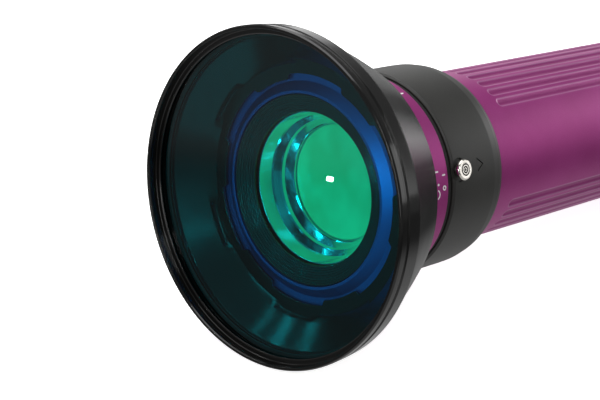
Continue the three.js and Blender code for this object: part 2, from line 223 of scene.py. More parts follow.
def second_finish(obj, material, chosen, place=LIGHT):
    """Gives a turned piece's faces another material where chosen(radius, y) is true."""
    obj.data.materials.append(material)
    back = place.inverted()
    for polygon in obj.data.polygons:
        centre = back @ polygon.center
        if chosen(math.hypot(centre.x, centre.z), centre.y):
            polygon.material_index = 1


def prism(name, ends, triangles=False):
    """A solid between two loops of points; triangles is for ends that are not flat."""
    mesh = bpy.data.meshes.new(name)
    work = bmesh.new()
    first, second = ([work.verts.new(point) for point in end] for end in ends)
    work.faces.new(first)
    work.faces.new(second)
    for i in range(len(first)):
        j = (i + 1) % len(first)
        work.faces.new((first[i], second[i], second[j], first[j]))
    if triangles:
        bmesh.ops.triangulate(work, faces=work.faces)
    bmesh.ops.recalc_face_normals(work, faces=work.faces)
    work.to_mesh(mesh)
    work.free()
    return loose_object(name, mesh)


def boolean_cut(obj, cutter):
    """Subtracts cutter from obj now, and throws the cutter away."""
    modifier = obj.modifiers.new("cut", "BOOLEAN")
    modifier.operation = "DIFFERENCE"
    modifier.solver = "EXACT"
    modifier.object = cutter
    graph = bpy.context.evaluated_depsgraph_get()
    cut_mesh = bpy.data.meshes.new_from_object(obj.evaluated_get(graph))
    obj.modifiers.remove(modifier)
    obj.data = cut_mesh
    bpy.data.objects.remove(cutter)


def radial_place(angle, y):
    """The frame of something turned whose own axis points outward at an angle and a y."""
    outward = around(1, 0, angle)
    along = Vector((0, 1, 0))
    third = along.cross(outward)
    turn = Matrix((third, outward, along)).transposed().to_4x4()
    return LIGHT @ Matrix.Translation(Vector((0, y, 0))) @ turn


def smooth_step(x):
    x = min(max(x, 0.0), 1.0)
    return x * x * (3 - 2 * x)


def angle_between(a, b):
    return abs((a - b + 180) % 360 - 180)


# ---------------------------------------------------------------- node helpers

class Finish:
    """A material under construction, with short ways to add and link nodes."""

    def __init__(self, name, **principled):
        self.material = bpy.data.materials.new(name)
        self.material.use_nodes = True
        self.tree = self.material.node_tree
        self.tree.nodes.clear()
        self.output = self.add("ShaderNodeOutputMaterial")
        self.shader = self.add("ShaderNodeBsdfPrincipled")
        self.tree.links.new(self.shader.outputs[0], self.output.inputs["Surface"])
        for socket, value in principled.items():
            self.shader.inputs[socket.replace("_", " ")].default_value = value
        self.object = None

    def add(self, kind, settings=None, **inputs):
        node = self.tree.nodes.new(kind)
        for key, value in (settings or {}).items():
            setattr(node, key, value)
        for key, value in inputs.items():
            self.feed(node.inputs[key.replace("_", " ")], value)
        return node

    def feed(self, socket, value):
        if isinstance(value, bpy.types.NodeSocket):
            self.tree.links.new(value, socket)
        else:
            socket.default_value = value

    def math(self, operation, a, b=0.0, c=0.0):
        node = self.add("ShaderNodeMath", {"operation": operation})
        for socket, value in zip(node.inputs, (a, b, c)):
            self.feed(socket, value)
        return node.outputs[0]

    def vector_math(self, operation, a, b=(0, 0, 0), output="Vector"):
        node = self.add("ShaderNodeVectorMath", {"operation": operation})
        self.feed(node.inputs[0], a)
        self.feed(node.inputs[1], b)
        return node.outputs[output]

    def place(self):
        if self.object is None:
            self.object = self.add("ShaderNodeTexCoord").outputs["Object"]
        return self.object

    def along(self):
        """Millimetres along the optical axis and away from it."""
        offset = self.vector_math("SUBTRACT", self.place(), ORIGIN)
        along = self.vector_math("DOT_PRODUCT", offset, AXIS, "Value")
        across = self.vector_math("CROSS_PRODUCT", offset, AXIS)
        length = self.vector_math("LENGTH", across, output="Value")
        return self.math("MULTIPLY", along, 1 / MM), self.math("MULTIPLY", length, 1 / MM)

    def noise(self, scale, detail=3.0, roughness=0.55, vector=None):
        node = self.add("ShaderNodeTexNoise", Scale=scale, Detail=detail, Roughness=roughness)
        self.feed(node.inputs["Vector"], vector or self.place())
        return node.outputs["Fac"]

    def turning(self, per_mm):
        """Fine tool lines that follow a turned surface, on its sides and on its faces."""
        y, radius = self.along()
        reach = self.math("ADD", y, radius)
        node = self.add("ShaderNodeTexNoise", {"noise_dimensions": "1D"}, Scale=per_mm, Detail=2.0)
        self.feed(node.inputs["W"], reach)
        return node.outputs["Fac"]

    def between(self, factor, low, high):
        """Maps a 0 to 1 factor to a range of numbers."""
        node = self.add("ShaderNodeMapRange", To_Min=low, To_Max=high)
        self.feed(node.inputs["Value"], factor)
        return node.outputs["Result"]

    def spread(self, factor, start, end):
        """Stretches the part of a factor between start and end to 0 to 1."""
        node = self.add("ShaderNodeMapRange", From_Min=start, From_Max=end)
        self.feed(node.inputs["Value"], factor)
        return node.outputs["Result"]

    def colours(self, factor, *stops):
        """A colour ramp through (position, linear colour) stops."""
        ramp = self.add("ShaderNodeValToRGB")
        self.feed(ramp.inputs["Fac"], factor)
        elements = ramp.color_ramp.elements
        while len(elements) < len(stops):
            elements.new(0.5)
        for element, (position, colour) in zip(elements, stops):
            element.position = position
            element.color = (*colour, 1)
        return ramp.outputs["Color"]

    def blend(self, factor, a, b):
        node = self.add("ShaderNodeMix", {"data_type": "RGBA"})
        self.feed(node.inputs["Factor"], factor)
        for identifier, colour in (("A_Color", a), ("B_Color", b)):
            socket = next(s for s in node.inputs if s.identifier == identifier)
            self.feed(socket, colour if isinstance(colour, bpy.types.NodeSocket) else (*colour, 1))
        return next(s for s in node.outputs if s.identifier == "Result_Color")

    def bump(self, *layers):
        """Stacks (height, strength, distance in mm) layers and feeds the shader's normal."""
        normal = None
        for height, strength, distance in layers:
            node = self.add("ShaderNodeBump", Strength=strength, Distance=distance * MM)
            self.feed(node.inputs["Height"], height)
            if normal is not None:
                self.feed(node.inputs["Normal"], normal)
            normal = node.outputs["Normal"]
        self.feed(self.shader.inputs["Normal"], normal)

    def brushed(self, amount):
        """Stretches highlights across the fine rings that turning leaves."""
        self.shader.inputs["Anisotropic"].default_value = amount
        ring = self.vector_math("CROSS_PRODUCT", self.vector_math("SUBTRACT", self.place(), ORIGIN), AXIS)
        normal = self.add("ShaderNodeNewGeometry").outputs["Normal"]
        self.feed(self.shader.inputs["Tangent"], self.vector_math("CROSS_PRODUCT", normal, ring))

    def set(self, **inputs):
        for key, value in inputs.items():
            self.feed(self.shader.inputs[key.replace("_", " ")], value)
        return self.material


def srgb(red, green, blue):
    """Linear colour from 0 to 255 display values."""
    def linear(value):
        value /= 255
        return value / 12.92 if value <= 0.04045 else ((value + 0.055) / 1.055) ** 2.4
    return (linear(red), linear(green), linear(blue))


# ---------------------------------------------------------------- finishes

def purple_anodised(name, dye=(160, 46, 127), metallic=0.5, flute_painted_light=False):
    """Dye over blasted aluminium; the flute option darkens the flutes as painted shade and pales their edges as
    painted highlight.
    """
    finish = Finish(name, Metallic=metallic, Specular_IOR_Level=0.35)
    broad = finish.noise(28, 3)
    grain = finish.noise(5200, 2)
    lines = finish.turning(5.0)
    darker = srgb(*(level - 9 for level in dye))
    lighter = srgb(*(level + 11 for level in dye))
    colour = finish.colours(broad, (0.25, darker), (0.5, srgb(*dye)), (0.78, lighter))
    sparkle = finish.spread(grain, 0.45, 0.8)
    colour = finish.blend(finish.math("MULTIPLY", sparkle, 0.16), colour, srgb(205, 140, 185))
    if flute_painted_light:
        # Painted shade: darker by the flute's depth. Painted highlight: paler near the flute's edge.
        depth = finish.add("ShaderNodeAttribute", {"attribute_name": "flute_painted_shade"}).outputs["Fac"]
        edge = finish.add("ShaderNodeAttribute", {"attribute_name": "flute_painted_highlight"}).outputs["Fac"]
        colour = finish.blend(finish.math("MULTIPLY", depth, 0.3), colour, srgb(98, 34, 78))
        colour = finish.blend(finish.math("MULTIPLY", edge, 0.55), colour, srgb(196, 150, 186))
    rough = finish.between(broad, 0.38, 0.48)
    finish.bump((lines, 0.08, 0.01), (grain, 0.18, 0.02))
    return finish.set(Base_Color=colour, Roughness=rough)


def black_anodised(name, level, rough_low, rough_high, stretch):
    """Gloss black over fine turning, a little duller where it is handled."""
    finish = Finish(name, IOR=1.5)
    broad = finish.noise(40, 4)
    lines = finish.turning(7.0)
    lighter = srgb(level + 5, level + 5, level + 4)
    colour = finish.colours(broad, (0.3, srgb(level, level, level)), (0.75, lighter))
    handled = finish.spread(finish.noise(60, 3, 0.5), 0.4, 0.8)
    rough = finish.between(handled, rough_low, rough_high)
    finish.bump((lines, 0.05, 0.006))
    finish.brushed(stretch)
    return finish.set(Base_Color=colour, Roughness=rough)


def black_matt():
    """Hard blasted black with pale scuffs."""
    finish = Finish("black_matt")
    broad = finish.noise(34, 4)
    grain = finish.noise(3600, 3)
    colour = finish.colours(broad, (0.3, srgb(30, 30, 28)), (0.72, srgb(42, 42, 39)))
    scuff = finish.spread(finish.noise(150, 8, 0.75), 0.62, 0.74)
    colour = finish.blend(finish.math("MULTIPLY", scuff, 0.3), colour, srgb(70, 70, 67))
    rough = finish.between(grain, 0.42, 0.56)
    finish.bump((grain, 0.35, 0.03))
    return finish.set(Base_Color=colour, Roughness=rough)


def steel():
    finish = Finish("steel", Metallic=1.0)
    broad = finish.noise(120, 3)
    lines = finish.noise(2600, 2)
    colour = finish.colours(broad, (0.3, srgb(196, 192, 184)), (0.75, srgb(224, 221, 214)))
    rough = finish.between(lines, 0.14, 0.24)
    finish.bump((lines, 0.03, 0.004))
    return finish.set(Base_Color=colour, Roughness=rough)


def polished_aluminium():
    finish = Finish("polished_aluminium", Metallic=1.0)
    lines = finish.turning(6.0)
    colour = finish.colours(lines, (0.35, srgb(222, 226, 228)), (0.65, srgb(238, 240, 240)))
    rough = finish.between(finish.noise(90, 2), 0.07, 0.11)
    finish.bump((lines, 0.03, 0.005))
    finish.brushed(0.7)
    return finish.set(Base_Color=colour, Roughness=rough)


def plain_aluminium():
    finish = Finish("plain_aluminium", Metallic=1.0)
    lines = finish.turning(3.0)
    broad = finish.noise(60, 3)
    colour = finish.colours(broad, (0.3, srgb(168, 170, 172)), (0.7, srgb(190, 192, 193)))
    rough = finish.between(lines, 0.34, 0.5)
    finish.bump((lines, 0.3, 0.03))
    return finish.set(Base_Color=colour, Roughness=rough)


def brass():
    finish = Finish("brass", Metallic=1.0)
    tarnish = finish.noise(180, 5)
    colour = finish.colours(tarnish, (0.35, srgb(176, 136, 66)), (0.7, srgb(208, 172, 92)))
    rough = finish.between(tarnish, 0.22, 0.4)
    finish.bump((finish.turning(4.0), 0.2, 0.02))
    return finish.set(Base_Color=colour, Roughness=rough)


def rubber():
    finish = Finish("rubber")
    grain = finish.noise(2400, 3)
    bloom = finish.noise(90, 5)
    colour = finish.colours(bloom, (0.35, srgb(16, 16, 16)), (0.75, srgb(30, 30, 31)))
    rough = finish.between(bloom, 0.5, 0.75)
    finish.bump((grain, 0.3, 0.02))
    return finish.set(Base_Color=colour, Roughness=rough)


def phosphor():
    """The emitter's yellow phosphor: a fine powder under a thin clear skin; its slight glow is painted light that
    brightens it.
    """
    finish = Finish("phosphor", Coat_Weight=0.5, Coat_Roughness=0.12, Emission_Strength=0.25)
    finish.shader.inputs["Emission Color"].default_value = (0.9, 0.88, 0.42, 1)
    powder = finish.noise(2800, 4)
    broad = finish.noise(48, 2)
    colour = finish.colours(broad, (0.36, srgb(208, 198, 112)), (0.62, srgb(250, 243, 160)))
    grains = finish.math("MULTIPLY", finish.spread(powder, 0.5, 0.8), 0.2)
    colour = finish.blend(grains, colour, srgb(214, 190, 96))
    rough = finish.between(powder, 0.45, 0.6)
    finish.bump((powder, 0.15, 0.02))
    return finish.set(Base_Color=colour, Roughness=rough)


def circuit_board():
    finish = Finish("circuit_board", Coat_Weight=0.3, Coat_Roughness=0.2)
    cells = finish.add("ShaderNodeTexVoronoi", {"distance": "CHEBYCHEV"}, Scale=420.0)
    finish.feed(cells.inputs["Vector"], finish.place())
    tracks = finish.spread(cells.outputs["Distance"], 0.28, 0.36)
    colour = finish.blend(tracks, srgb(34, 92, 56), srgb(26, 70, 44))
    finish.bump((tracks, 0.4, 0.03))
    rough = finish.between(finish.noise(300, 3), 0.35, 0.5)
    return finish.set(Base_Color=colour, Roughness=rough)


def moulded(name, low, high, rough_low, rough_high):
    """Plain moulded or pressed parts inside: insulators, ferrite and cell sleeves."""
    finish = Finish(name)
    broad = finish.noise(70, 4)
    grain = finish.noise(1900, 2)
    colour = finish.colours(broad, (0.3, srgb(*low)), (0.7, srgb(*high)))
    rough = finish.between(grain, rough_low, rough_high)
    finish.bump((grain, 0.15, 0.02))
    return finish.set(Base_Color=colour, Roughness=rough)


def white_print():
    finish = Finish("white_print")
    worn = finish.noise(1600, 5)
    colour = finish.colours(worn, (0.25, srgb(226, 214, 222)), (0.5, srgb(252, 250, 251)))
    rough = finish.between(worn, 0.5, 0.7)
    finish.bump((worn, 0.2, 0.01))
    return finish.set(Base_Color=colour, Roughness=rough)


def clear_pane(name, tint, gloss, smears):
    """A thin pane: tinted light passes straight through, and its outer skins reflect weakly.

    gloss is how much they reflect face on, and smears is what finger marks add to that.
    """
    finish = Finish(name, Metallic=1.0)
    broad = finish.noise(18, 3)
    see_through = finish.add("ShaderNodeBsdfTransparent")
    darker = tuple(c * 0.965 for c in tint)
    finish.feed(see_through.inputs["Color"], finish.colours(broad, (0.3, darker), (0.7, tint)))
    facing = finish.add("ShaderNodeLayerWeight", Blend=0.25).outputs["Facing"]
    smear = finish.spread(finish.noise(46, 7, 0.7), 0.5, 0.72)
    weight = finish.math("MULTIPLY_ADD", finish.math("POWER", facing, 3.0), 0.6, gloss)
    weight = finish.math("MULTIPLY_ADD", smear, smears, weight)
    outer = finish.math("SUBTRACT", 1.0, finish.add("ShaderNodeNewGeometry").outputs["Backfacing"])
    mix = finish.add("ShaderNodeMixShader")
    finish.feed(mix.inputs[0], finish.math("MULTIPLY", weight, outer))
    finish.feed(mix.inputs[1], see_through.outputs[0])
    finish.feed(mix.inputs[2], finish.shader.outputs[0])
    finish.feed(finish.output.inputs["Surface"], mix.outputs[0])
    finish.material.surface_render_method = "BLENDED"
    return finish.set(Base_Color=(0.95, 0.95, 0.95, 1), Roughness=finish.between(smear, 0.01, 0.04))


PURPLE = purple_anodised("purple_anodised")
# The head's purple again for its bezel, more metallic and with a paler dye; the paler dye is painted light.
BEZEL_PURPLE_PAINTED_LIGHTER = purple_anodised("purple_bezel_painted_lighter", (196, 108, 190), 0.95)
FLUTED_PURPLE = purple_anodised("purple_fluted", flute_painted_light=True)
RING_BLACK = black_anodised("ring_black", 8, 0.14, 0.2, 0.6)
BELL_BLACK = black_anodised("bell_black", 9, 0.19, 0.24, 1.0)
# The bell's black again for its inside, in a paler grey that paints light there.
BELL_INSIDE_PAINTED_LIGHTER = black_anodised("bell_inside_painted_lighter", 20, 0.16, 0.21, 0.3)
# Black anodise in a paler grey for the baffle: painted reflected light.
BAFFLE_BLACK_PAINTED_LIGHTER = black_anodised("baffle_black_painted_lighter", 40, 0.12, 0.2, 0.5)
COLLAR_MATT = black_matt()
STEEL = steel()
REFLECTOR_SILVER = polished_aluminium()
RUBBER = rubber()
PHOSPHOR_PAINTED_GLOW = phosphor()
WHITE_PRINT = white_print()
FILTER = clear_pane("filter_glass", (0.1, 0.92, 0.955), 0.045, 0.004)
PORT = clear_pane("port_glass", (0.985, 0.99, 0.985), 0.02, 0.003)

SLOT_FINISHES = {
    "purple_anodised": PURPLE,
    "black_anodised": BELL_BLACK,
    "black_matt": COLLAR_MATT,
    "steel": STEEL,
    "polished_aluminium": REFLECTOR_SILVER,
    "plain_aluminium": plain_aluminium(),
    "brass": brass(),
    "rubber": RUBBER,
    "filter_glass": FILTER,
    "port_glass": PORT,
    "phosphor": PHOSPHOR_PAINTED_GLOW,
    "circuit_board": circuit_board(),
    "insulator": moulded("insulator", (216, 212, 198), (232, 229, 216), 0.4, 0.55),
    "ferrite": moulded("ferrite", (44, 45, 48), (60, 61, 65), 0.5, 0.7),
    "cell_wrap": moulded("cell_wrap", (38, 92, 132), (52, 112, 154), 0.25, 0.4),
}


# ---------------------------------------------------------------- front ring, filter and bell

def make_front_ring():
    turned("front_ring", [
        (58.4, 0.0, 0.3), (58.7, -0.6, 0.3), (59.6, -0.6, 0.4), (60.0, 0.1, 0.5), (60.0, 2.1, 0.35),
        (59.45, 2.5, 0.15), (59.45, 3.5, 0.15), (59.9, 3.85, 0.25), (59.45, 9.2, 0.3),
        (59.1, 9.6, 0.2), (58.2, 9.6), (58.2, 3.8), (56.5, 3.8, 0.1), (56.4, 3.25, 0.2),
        (56.8, 3.0, 0.15), (58.4, 2.95, 0.35),
    ], RING_BLACK, "front_ring", ["filter_retaining_ring"], "black_anodised")


def make_filter_glass():
    turned("filter_pane_glass", [
        (0, 4.1), (20, 4.1), (40, 4.1), (57.4, 4.1, 0.2), (57.8, 4.4, 0.2), (57.8, 6.2, 0.2),
        (57.4, 6.5, 0.2), (40, 6.5), (20, 6.5), (0, 6.5),
    ], FILTER, "filter_pane", ["filter_glass"], "filter_glass")
    turned("filter_gasket_ring", [
        (55.8, 6.8, 0.25), (57.4, 6.8, 0.25), (57.4, 7.6, 0.25), (55.8, 7.6, 0.25),
    ], RUBBER, "filter_bell", ["filter_gasket"], "rubber")


def scalloped(radius, y, angle):
    """Opens the bell's inner flange out in six shallow scallops that run into the cone's foot."""
    spacing = 360 / SCALLOPS
    nearest = round((angle - SCALLOP_FIRST) / spacing) * spacing + SCALLOP_FIRST
    away = angle_between(angle, nearest)
    if radius < 39.8 and 19.5 < y < 21.5:
        return radius + SCALLOP_DEPTH * smooth_step((SCALLOP_HALF_ANGLE - away) / 1.6)
    if 43 < radius < 45.6 and 18 < y < 21:
        return radius + SCALLOP_FOOT_DEPTH * smooth_step((SCALLOP_FOOT_HALF_ANGLE - away) / 7)
    return radius


def inside_bell(radius, y):
    """True on the bell's inner cone and its flange's front, seen through the filter."""
    return y < 20 and radius < 61.3 - 0.62 * y


def make_bell():
    bell = turned("bell_shell", [
        (55.4, 7.9, 0.2), (57.8, 7.9, 0.2), (57.8, 9.9), (58.8, 9.9, 0.25), (58.75, 10.4, 0.25),
        (57.75, 12.5, 0.25), (57.3, 12.75, 0.2), (50.9, 26.6), (46.75, 35.0, 0.5),
        (46.0, 35.4, 0.3), (42.2, 35.4, 0.3), (42.0, 35.0, 0.2), (42.0, 21.1, 0.2),
        (39.3, 21.1, 0.2), (39.3, 19.9, 0.3), (44.4, 19.9, 0.3), (45.2, 18.9), (46.6, 17.6),
        (46.75, 17.45), (47.0, 17.2), (49.8, 14.6), (55.4, 9.4, 0.4),
    ], BELL_BLACK, "filter_bell", ["bell_housing"], "black_anodised",
        segments=SHAPED_SEGMENTS, shape=scalloped)
    # The inside of the bell gets the paler black: painted light on the same part.
    second_finish(bell, BELL_INSIDE_PAINTED_LIGHTER, inside_bell)


# ---------------------------------------------------------------- lamp head

def make_head():
    head = turned("lamp_head", [
        (34.4, 19.2, 0.15), (35.4, 19.2, 0.25), (38.6, 21.5, 0.4), (41.6, 21.5, 0.3),
        (41.6, 27.7, 0.2), (39.2, 27.7), (39.2, 30.3), (41.6, 30.3, 0.2), (41.6, 38.0, 0.5),
        (37.6, 42.0, 0.4), (37.6, 52.9, 0.3), (37.3, 53.1, 0.15), (34.6, 53.1), (34.6, 69.5, 0.2),
        (34.4, 69.7, 0.2), (29.6, 69.7), (29.6, 52.4), (31.8, 52.4), (31.8, 27.9), (34.4, 27.9),
    ], PURPLE, "light_body", ["head_housing"], "purple_anodised")
    # The bezel gets the paler copy of the purple: painted light on the same part.
    second_finish(head, BEZEL_PURPLE_PAINTED_LIGHTER, lambda radius, y: y < BEZEL_REAR)


def make_optics():
    """The stepped black baffle, port glass, reflector and phosphor, from front to rear."""
    # The baffle's black is painted lighter, standing in for the light it reflects.
    turned("stepped_baffle", [
        (34.0, 19.8, 0.1), (33.4, 19.8, 0.2), (33.2, 20.2, 0.15), (32.4, 20.2, 0.2),
        (32.2, 20.7, 0.15), (31.6, 20.7, 0.2), (31.4, 21.2, 0.15), (30.7, 21.2, 0.2),
        (30.5, 21.6, 0.15), (29.9, 21.6, 0.2), (29.7, 22.0, 0.15), (29.1, 22.0, 0.2),
        (28.9, 22.4, 0.15), (28.4, 22.4, 0.2), (28.2, 22.8, 0.15), (27.7, 22.8, 0.2),
        (27.5, 23.4), (34.0, 23.4),
    ], BAFFLE_BLACK_PAINTED_LIGHTER, "light_body", ["lens_retaining_ring"], "black_anodised")
    turned("port_window", [
        (0, 23.7), (16, 23.7), (33.9, 23.7, 0.1), (33.9, 24.5, 0.1), (16, 24.5), (0, 24.5),
    ], PORT, "light_body", ["port_glass"], "port_glass")
    turned("stepped_reflector", [
        (27.1, 24.9, 0.3), (31.4, 24.9, 0.1), (31.4, 29.6, 0.2), (28.0, 30.6), (24.6, 35.0),
        (24.6, 38.2, 0.1), (21.3, 38.2, 0.1), (21.35, 37.5, 0.1), (21.75, 37.1, 0.1),
        (23.4, 34.5, 0.15), (23.6, 33.2, 0.1), (24.0, 32.7, 0.1), (25.5, 30.6, 0.15),
        (25.8, 29.9, 0.15), (26.7, 27.0),
    ], REFLECTOR_SILVER, "light_body", ["reflector"], "polished_aluminium")
    turned("phosphor_disc", [
        (0, 38.15), (10, 38.2), (20.4, 38.3, 0.2), (21.0, 38.5, 0.2), (21.0, 39.1, 0.1), (0, 39.1),
    ], PHOSPHOR_PAINTED_GLOW, "light_body", ["led_phosphor"], "phosphor")


def printed_mark(name, pairs, y, angle, closed=False):
    """A thin print on the scale band: a strip between pairs of (along, across) millimetres."""
    mesh = bpy.data.meshes.new(name)
    verts = []
    for pair in pairs:
        for along, across in pair:
            turn = angle + math.degrees(across / SCALE_RADIUS)
            verts.append(LIGHT @ around(SCALE_RADIUS + 0.04, y + along, turn))
    count = len(pairs)
    faces = []
    for i in range(count if closed else count - 1):
        j = (i + 1) % count
        faces.append((2 * i, 2 * i + 1, 2 * j + 1, 2 * j))
    mesh.from_pydata(verts, [], faces)
    mark = loose_object(name, mesh)
    dress(mark, WHITE_PRINT, "light_body", ())
    skin = mark.modifiers.new("skin", "SOLIDIFY")
    skin.thickness = 0.06 * MM
    skin.offset = 0


def lozenge(length, width, steps=10):
    """Pairs across a bar along the axis with rounded ends; a dot when length equals width."""
    half = width / 2
    pairs = []
    for i in range(steps + 1):
        along = -length / 2 + length * i / steps
        past = max(0.0, abs(along) - (length / 2 - half))
        reach = math.sqrt(max(half ** 2 - past ** 2, 0.0004))
        pairs.append(((along, -reach), (along, reach)))
    return pairs


def band(inner, outer, start, end, steps=24):
    """Pairs across a band of a circle from one angle to another, in degrees."""
    pairs = []
    for step in range(steps + 1):
        turn = math.radians(start + (end - start) * step / steps)
        cosine, sine = math.cos(turn), math.sin(turn)
        pairs.append(((inner * cosine, inner * sine), (outer * cosine, outer * sine)))
    return pairs


def make_scale_marks():
    """Plain printed marks by the switch: three dashes, a dot, a ring and an arc."""
    printed_mark("scale_mark_dash_1", lozenge(1.7, 0.6), 47.0, 17.0)
    printed_mark("scale_mark_dash_2", lozenge(1.8, 0.6), 50.6, 14.6)
    printed_mark("scale_mark_dash_3", lozenge(1.6, 0.6), 50.1, 65.9)
    printed_mark("scale_mark_dot", lozenge(0.9, 0.9), 47.4, 10.0)
    printed_mark("scale_mark_ring", band(0.45, 0.95, 0, 345), 50.7, 7.6, closed=True)
    printed_mark("scale_mark_arc", band(1.5, 1.95, -65, 65), 46.4, 4.6)


# ---------------------------------------------------------------- rotary switch

def chevron_cutter(y, angle):
    """An engraved V on its side: two strokes that meet towards the tail."""
    reach = 2.9
    half = 2.1
    stroke = 0.36
    surface = 38
    outline = [
        (0, -half - stroke), (reach + stroke * 1.3, 0), (0, half + stroke),
        (-stroke * 0.7, half - stroke * 0.4), (reach - stroke * 0.6, 0),
        (-stroke * 0.7, -half + stroke * 0.4),
    ]
    ends = [[LIGHT @ around(radius, y + along, angle + math.degrees(across / surface))
             for along, across in outline] for radius in (surface - 0.4, surface + 2)]
    return prism("chevron_cutter", ends, triangles=True)


def make_collar():
    mesh = turned_mesh("rotary_collar", [
        (35.0, 55.8, 0.2), (37.3, 55.8, 0.3), (38.0, 56.5, 0.5), (38.1, 60.0), (38.1, 70.0),
        (38.1, 76.0), (38.0, 80.0, 6.0), (37.3, 84.0, 4.0), (36.35, 86.4, 0.5), (36.0, 86.7, 0.2),
        (35.0, 86.7, 0.2), (35.0, 74.0), (33.2, 74.0), (33.2, 70.1), (35.0, 70.1),
    ])
    collar = loose_object("rotary_collar", mesh)
    hole = turned_mesh("knob_hole", [
        (0, 30), (2.0, 30), (2.0, 37.1), (4.3, 37.1), (4.3, 42), (0, 42),
    ], 64, place=radial_place(KNOB_ANGLE, KNOB_Y))
    boolean_cut(collar, loose_object("knob_hole", hole))
    boolean_cut(collar, chevron_cutter(CHEVRON_Y, KNOB_ANGLE + 0.4))
    dress(collar, COLLAR_MATT, "collar", ["switch_collar"])
    soften(collar)
    collar.data.set_sharp_from_angle(angle=math.radians(32))
    turned("glide_ring", [
        (34.9, 53.4, 0.2), (36.9, 53.4, 0.3), (36.9, 55.5, 0.3), (34.9, 55.5, 0.2),
    ], RUBBER, "light_body", ["collar_glide_ring"], "rubber")


def make_knob():
    """A turned push-pull knob: necked stem, bevelled head, and grooves and a dimple in its face, painted black as
    shade.
    """
    place = radial_place(KNOB_ANGLE, KNOB_Y)
    knob = turned("lock_knob_head", [
        (0, 37.5), (2.3, 37.5, 0.1), (2.3, 38.8, 0.3), (3.45, 39.1, 0.2), (3.75, 39.4, 0.2),
        (3.75, 40.3, 0.25), (3.4, 40.8, 0.15), (2.2, 40.8, 0.05), (2.15, 40.3), (1.8, 40.3),
        (1.75, 40.8, 0.05), (1.3, 40.8, 0.05), (1.25, 40.3), (0.85, 40.3), (0.8, 40.75, 0.05),
        (0.5, 40.75, 0.05), (0.45, 39.9), (0, 39.9),
    ], STEEL, "knob", ["lock_knob"], "steel", segments=96, place=place)
    # The faces of the grooves and the dimple take the black rubber finish: painted shade in the recesses.
    second_finish(knob, RUBBER, lambda radius, y: radius < 2.18 and 39 < y < 40.6, place)


# ---------------------------------------------------------------- battery tube and tail

def capsule_depth(across, y, front, rear, half_width, depth):
    """How deep a round-ended channel is at a point, and how near that point is to its edge."""
    past = max(0.0, front - y, y - rear)
    reach = math.hypot(across, past)
    cutter = (half_width ** 2 + depth ** 2) / (2 * depth)
    inside = math.sqrt(max(cutter ** 2 - reach ** 2, 0)) - (cutter - depth)
    return max(0.0, inside), math.exp(-((reach - half_width) / 0.3) ** 2)


def flute_angles():
    for side in (1, -1):
        middle = KNOB_ANGLE + side * FLUTE_GROUP_OFFSET
        for i in range(FLUTES_PER_GROUP):
            yield middle + (i - (FLUTES_PER_GROUP - 1) / 2) * FLUTE_PITCH


def flute_at(radius, y, angle):
    """The nearest flute's depth at a point of the tube, and how near its edge is."""
    if radius < TUBE_RADIUS - 0.01:
        return 0.0, 0.0
    away = min(angle_between(angle, flute) for flute in flute_angles())
    if away > 6:
        return 0.0, 0.0
    across = math.radians(away) * TUBE_RADIUS
    return capsule_depth(across, y, FLUTE_FRONT, FLUTE_REAR, FLUTE_HALF_WIDTH, FLUTE_DEPTH)


def fluted(radius, y, angle):
    return radius - flute_at(radius, y, angle)[0]


def mark_flutes(mesh):
    """Stores each point's flute depth and nearness to a flute's edge, which the finish reads to paint shade in the
    flutes and highlights along their edges.
    """
    flute_painted_shade = mesh.attributes.new("flute_painted_shade", "FLOAT", "POINT")
    flute_painted_highlight = mesh.attributes.new("flute_painted_highlight", "FLOAT", "POINT")
    back = LIGHT.inverted()
    for vertex in mesh.vertices:
        place = back @ vertex.co
        if math.hypot(place.x, place.z) > TUBE_RADIUS - 0.9:
            depth, near = flute_at(TUBE_RADIUS, place.y, math.degrees(math.atan2(place.z, place.x)))
            flute_painted_shade.data[vertex.index].value = depth / FLUTE_DEPTH
            flute_painted_highlight.data[vertex.index].value = near


def make_tube():
    """The fluted tube; its outline has close steps where the flutes' round ends are."""
    steps = [86.3, 86.7, 95.0, 99.0]
    steps += [FLUTE_FRONT - 2.4 + 0.3 * i for i in range(10)]
    steps += [FLUTE_FRONT + 6 * i for i in range(1, 20)]
    steps += [FLUTE_REAR - 0.3 + 0.3 * i for i in range(11)]
    steps += [232.0, 240.0]
    outline = [
        (26.0, 61.5, 0.2), (29.0, 61.5, 0.3), (29.2, 63.3, 0.1), (27.2, 63.3), (27.2, 68.1),
        (29.2, 68.1, 0.1), (29.2, 74.4), (34.6, 74.4, 0.2), (34.6, 85.5, 0.3), (32.8, 86.05, 0.2),
    ]
    outline += [(TUBE_RADIUS, y) for y in steps]
    outline += [
        (TUBE_RADIUS, 245.4, 0.4), (32.0, 246.0, 0.3), (29.4, 246.0, 0.2), (29.4, 88.0), (26.0, 88.0),
    ]
    tube = turned("battery_tube_shell", outline, FLUTED_PURPLE, "light_body", ["battery_tube"],
                  "purple_anodised", segments=FLUTED_SEGMENTS, shape=fluted)
    mark_flutes(tube.data)


def gripped(radius, y, angle):
    """Finger scallops round the tail cap."""
    if radius < CAP_RADIUS - 0.1:
        return radius
    spacing = 360 / GRIP_SCALLOPS
    nearest = (round(angle / spacing - 0.5) + 0.5) * spacing
    across = math.radians(angle_between(angle, nearest)) * radius
    return radius - capsule_depth(across, y, 253, 263, 2.86, 1.2)[0]


